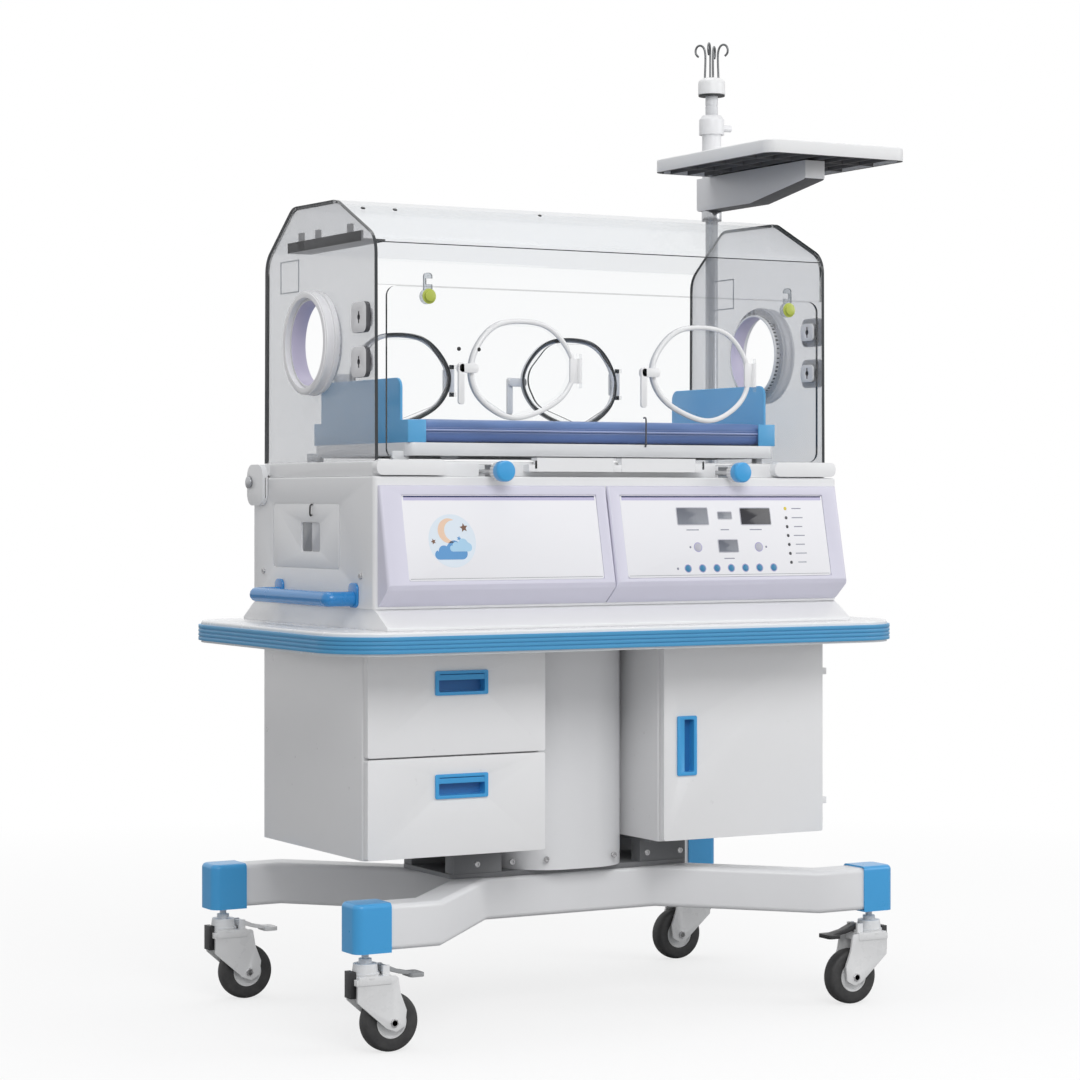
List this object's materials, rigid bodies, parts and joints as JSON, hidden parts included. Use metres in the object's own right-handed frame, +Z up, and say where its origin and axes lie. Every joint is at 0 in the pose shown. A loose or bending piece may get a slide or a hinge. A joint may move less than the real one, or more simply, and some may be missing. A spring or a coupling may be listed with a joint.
{
  "type": "infant incubator",
  "caption": "Closed-care infant incubator: clear hinged hood with hand ports over a tilting mattress, on a castered stand with drawers, cupboard, handles, tray and hook pole.",
  "frame": {"origin": "middle of the footprint's bounding box, on the floor", "axes": "+X to the right seen from the front, -Y toward the front, +Z up"},
  "size_m": [1.257, 0.696, 1.8252],
  "materials": {
    "white_shell": "satin moulded plastic",
    "painted_frame": "powder-coated steel",
    "painted_board": "smooth painted board",
    "blue_plastic": "satin moulded plastic",
    "clear_acrylic": "polished clear sheet",
    "gray_plate": "painted plate",
    "control_film": "printed film",
    "steel": "brushed",
    "chrome": "polished",
    "caster_metal": "painted",
    "dark_rubber": "matt tread",
    "pedal_plastic": "matt",
    "mattress_cover": "wipe-clean cover",
    "tray_plastic": "satin moulded plastic",
    "gray_rubber": "soft",
    "latch_green": "translucent moulding",
    "iris_white": "satin",
    "motor_dark": "dark",
    "fan_white": "moulded"
  },
  "bodies": {
    "stand": {"base_bars": "painted_frame", "base_end_caps": "blue_plastic", "base_centre_plate": "gray_plate", "centre_column": "painted_frame", "left_cabinet": "painted_board", "right_cabinet": "painted_board", "table_top": "white_shell", "table_edge_band": "blue_plastic", "casing_skirt": "white_shell", "lower_casing": "white_shell", "left_fascia": "white_shell", "control_fascia": "white_shell", "control_panel": "control_film", "push_handles": "blue_plastic", "fan_motor": "motor_dark", "deck_pivots": "steel", "pole": "steel"},
    "upper_drawer": {"upper_drawer": "painted_board", "upper_drawer_handle": "blue_plastic"},
    "lower_drawer": {"lower_drawer": "painted_board", "lower_drawer_handle": "blue_plastic"},
    "cabinet_door": {"cabinet_door": "painted_board", "cabinet_door_handle": "blue_plastic"},
    "fan": {"fan_impeller": "fan_white"},
    "hood": {"hood_rim": "white_shell", "hood_canopy": "clear_acrylic", "hood_end_panels": "clear_acrylic", "sensor_bracket": "gray_plate", "tube_grommets": "gray_rubber", "iris_sleeves": "iris_white"},
    "front_door": {"front_door": "clear_acrylic"},
    "left_door_latch": {"left_door_latch": "latch_green"},
    "right_door_latch": {"right_door_latch": "latch_green"},
    "front_left_port_door": {"front_left_port_door": "clear_acrylic"},
    "front_right_port_door": {"front_right_port_door": "clear_acrylic"},
    "back_left_port_door": {"back_left_port_door": "clear_acrylic"},
    "back_right_port_door": {"back_right_port_door": "clear_acrylic"},
    "left_iris_ring": {"left_iris_ring": "iris_white"},
    "right_iris_ring": {"right_iris_ring": "iris_white"},
    "tilt_frame": {"tilt_frame": "steel"},
    "bed": {"mattress_tray": "clear_acrylic", "mattress": "mattress_cover", "end_baffles": "blue_plastic"},
    "left_tilt_knob": {"left_tilt_knob": "blue_plastic"},
    "right_tilt_knob": {"right_tilt_knob": "blue_plastic"},
    "tray_arm": {"tray_arm": "painted_frame", "monitor_tray": "tray_plastic"},
    "hook_rod": {"iv_hook_rod": "chrome"},
    "front_left_swivel": {"front_left_fork": "caster_metal"},
    "front_left_wheel": {"front_left_wheel": "dark_rubber"},
    "front_left_pedal": {"front_left_pedal": "pedal_plastic"},
    "front_right_swivel": {"front_right_fork": "caster_metal"},
    "front_right_wheel": {"front_right_wheel": "dark_rubber"},
    "front_right_pedal": {"front_right_pedal": "pedal_plastic"},
    "back_left_swivel": {"back_left_fork": "caster_metal"},
    "back_left_wheel": {"back_left_wheel": "dark_rubber"},
    "back_left_pedal": {"back_left_pedal": "pedal_plastic"},
    "back_right_swivel": {"back_right_fork": "caster_metal"},
    "back_right_wheel": {"back_right_wheel": "dark_rubber"},
    "back_right_pedal": {"back_right_pedal": "pedal_plastic"}
  },
  "joints": [
    {"name": "front_left_swivel", "type": "hinge", "parent": "stand", "child": "front_left_swivel", "pos_m": [-0.5645, -0.297, 0.15], "axis": [0, 0, 1], "continuous": true},
    {"name": "front_left_roll", "type": "hinge", "parent": "front_left_swivel", "child": "front_left_wheel", "pos_m": [-0.5215, -0.297, 0.05], "axis": [0, 1, 0], "continuous": true},
    {"name": "front_left_brake", "type": "hinge", "parent": "front_left_swivel", "child": "front_left_pedal", "pos_m": [-0.5335, -0.297, 0.14], "axis": [0, 1, 0], "range_deg": [0, 8]},
    {"name": "front_right_swivel", "type": "hinge", "parent": "stand", "child": "front_right_swivel", "pos_m": [0.4575, -0.297, 0.15], "axis": [0, 0, 1], "continuous": true},
    {"name": "front_right_roll", "type": "hinge", "parent": "front_right_swivel", "child": "front_right_wheel", "pos_m": [0.4145, -0.297, 0.05], "axis": [0, 1, 0], "continuous": true},
    {"name": "front_right_brake", "type": "hinge", "parent": "front_right_swivel", "child": "front_right_pedal", "pos_m": [0.4265, -0.297, 0.14], "axis": [0, -1, 0], "range_deg": [0, 8]},
    {"name": "back_left_swivel", "type": "hinge", "parent": "stand", "child": "back_left_swivel", "pos_m": [-0.5645, 0.297, 0.15], "axis": [0, 0, 1], "continuous": true},
    {"name": "back_left_roll", "type": "hinge", "parent": "back_left_swivel", "child": "back_left_wheel", "pos_m": [-0.5215, 0.297, 0.05], "axis": [0, 1, 0], "continuous": true},
    {"name": "back_left_brake", "type": "hinge", "parent": "back_left_swivel", "child": "back_left_pedal", "pos_m": [-0.5335, 0.297, 0.14], "axis": [0, 1, 0], "range_deg": [0, 8]},
    {"name": "back_right_swivel", "type": "hinge", "parent": "stand", "child": "back_right_swivel", "pos_m": [0.4575, 0.297, 0.15], "axis": [0, 0, 1], "continuous": true},
    {"name": "back_right_roll", "type": "hinge", "parent": "back_right_swivel", "child": "back_right_wheel", "pos_m": [0.4145, 0.297, 0.05], "axis": [0, 1, 0], "continuous": true},
    {"name": "back_right_brake", "type": "hinge", "parent": "back_right_swivel", "child": "back_right_pedal", "pos_m": [0.4265, 0.297, 0.14], "axis": [0, -1, 0], "range_deg": [0, 8]},
    {"name": "upper_drawer_slide", "type": "slide", "parent": "stand", "child": "upper_drawer", "axis": [0, -1, 0], "range_m": [0, 0.3]},
    {"name": "lower_drawer_slide", "type": "slide", "parent": "stand", "child": "lower_drawer", "axis": [0, -1, 0], "range_m": [0, 0.3]},
    {"name": "cabinet_door_hinge", "type": "hinge", "parent": "stand", "child": "cabinet_door", "pos_m": [0.4185, -0.193, 0.48], "axis": [0, 0, 1], "range_deg": [0, 105]},
    {"name": "fan_spin", "type": "hinge", "parent": "stand", "child": "fan", "pos_m": [-0.0535, 0, 0.78], "axis": [0, 0, 1], "continuous": true},
    {"name": "hood_tilt", "type": "hinge", "parent": "stand", "child": "hood", "pos_m": [-0.0535, 0.238, 0.948], "axis": [-1, 0, 0], "range_deg": [0, 15]},
    {"name": "front_door_hinge", "type": "hinge", "parent": "hood", "child": "front_door", "pos_m": [-0.0535, -0.251, 0.971], "axis": [1, 0, 0], "range_deg": [0, 90]},
    {"name": "left_latch_turn", "type": "hinge", "parent": "front_door", "child": "left_door_latch", "pos_m": [-0.421, -0.25, 1.261], "axis": [0, -1, 0], "range_deg": [0, 90]},
    {"name": "right_latch_turn", "type": "hinge", "parent": "front_door", "child": "right_door_latch", "pos_m": [0.314, -0.25, 1.261], "axis": [0, 1, 0], "range_deg": [0, 90]},
    {"name": "front_left_port_hinge", "type": "hinge", "parent": "front_door", "child": "front_left_port_door", "pos_m": [-0.1245, -0.245, 1.14088], "axis": [0, 0, 1], "range_deg": [0, 120]},
    {"name": "back_left_port_hinge", "type": "hinge", "parent": "hood", "child": "back_left_port_door", "pos_m": [-0.1245, 0.234, 1.14088], "axis": [0, 0, -1], "range_deg": [0, 120]},
    {"name": "left_iris_turn", "type": "hinge", "parent": "hood", "child": "left_iris_ring", "pos_m": [-0.5235, -0.005, 1.18994], "axis": [-1, 0, 0], "range_deg": [0, 180]},
    {"name": "front_right_port_hinge", "type": "hinge", "parent": "front_door", "child": "front_right_port_door", "pos_m": [0.2395, -0.245, 1.14088], "axis": [0, 0, 1], "range_deg": [0, 120]},
    {"name": "back_right_port_hinge", "type": "hinge", "parent": "hood", "child": "back_right_port_door", "pos_m": [0.2395, 0.234, 1.14088], "axis": [0, 0, -1], "range_deg": [0, 120]},
    {"name": "right_iris_turn", "type": "hinge", "parent": "hood", "child": "right_iris_ring", "pos_m": [0.4165, -0.005, 1.18994], "axis": [1, 0, 0], "range_deg": [0, 180]},
    {"name": "frame_tilt", "type": "hinge", "parent": "stand", "child": "tilt_frame", "pos_m": [0.3365, 0, 0.97], "axis": [0, 1, 0], "range_deg": [0, 12]},
    {"name": "bed_tilt", "type": "hinge", "parent": "tilt_frame", "child": "bed", "pos_m": [-0.4435, 0, 0.98], "axis": [0, -1, 0], "range_deg": [0, 12]},
    {"name": "left_knob_turn", "type": "hinge", "parent": "stand", "child": "left_tilt_knob", "pos_m": [-0.2945, -0.25, 0.965], "axis": [0, -1, 0], "range_deg": [0, 360]},
    {"name": "right_knob_turn", "type": "hinge", "parent": "stand", "child": "right_tilt_knob", "pos_m": [0.1875, -0.25, 0.965], "axis": [0, -1, 0], "range_deg": [0, 360]},
    {"name": "tray_swivel", "type": "hinge", "parent": "stand", "child": "tray_arm", "pos_m": [0.4665, 0.246, 1.5], "axis": [0, 0, 1], "range_deg": [-100, 100]},
    {"name": "hook_rod_slide", "type": "slide", "parent": "tray_arm", "child": "hook_rod", "axis": [0, 0, 1], "range_m": [0, 0.1]}
  ],
  "couplings": [
    {"joint": "left_knob_turn", "follows": "frame_tilt", "ratio": 30},
    {"joint": "right_knob_turn", "follows": "bed_tilt", "ratio": 30}
  ]
}
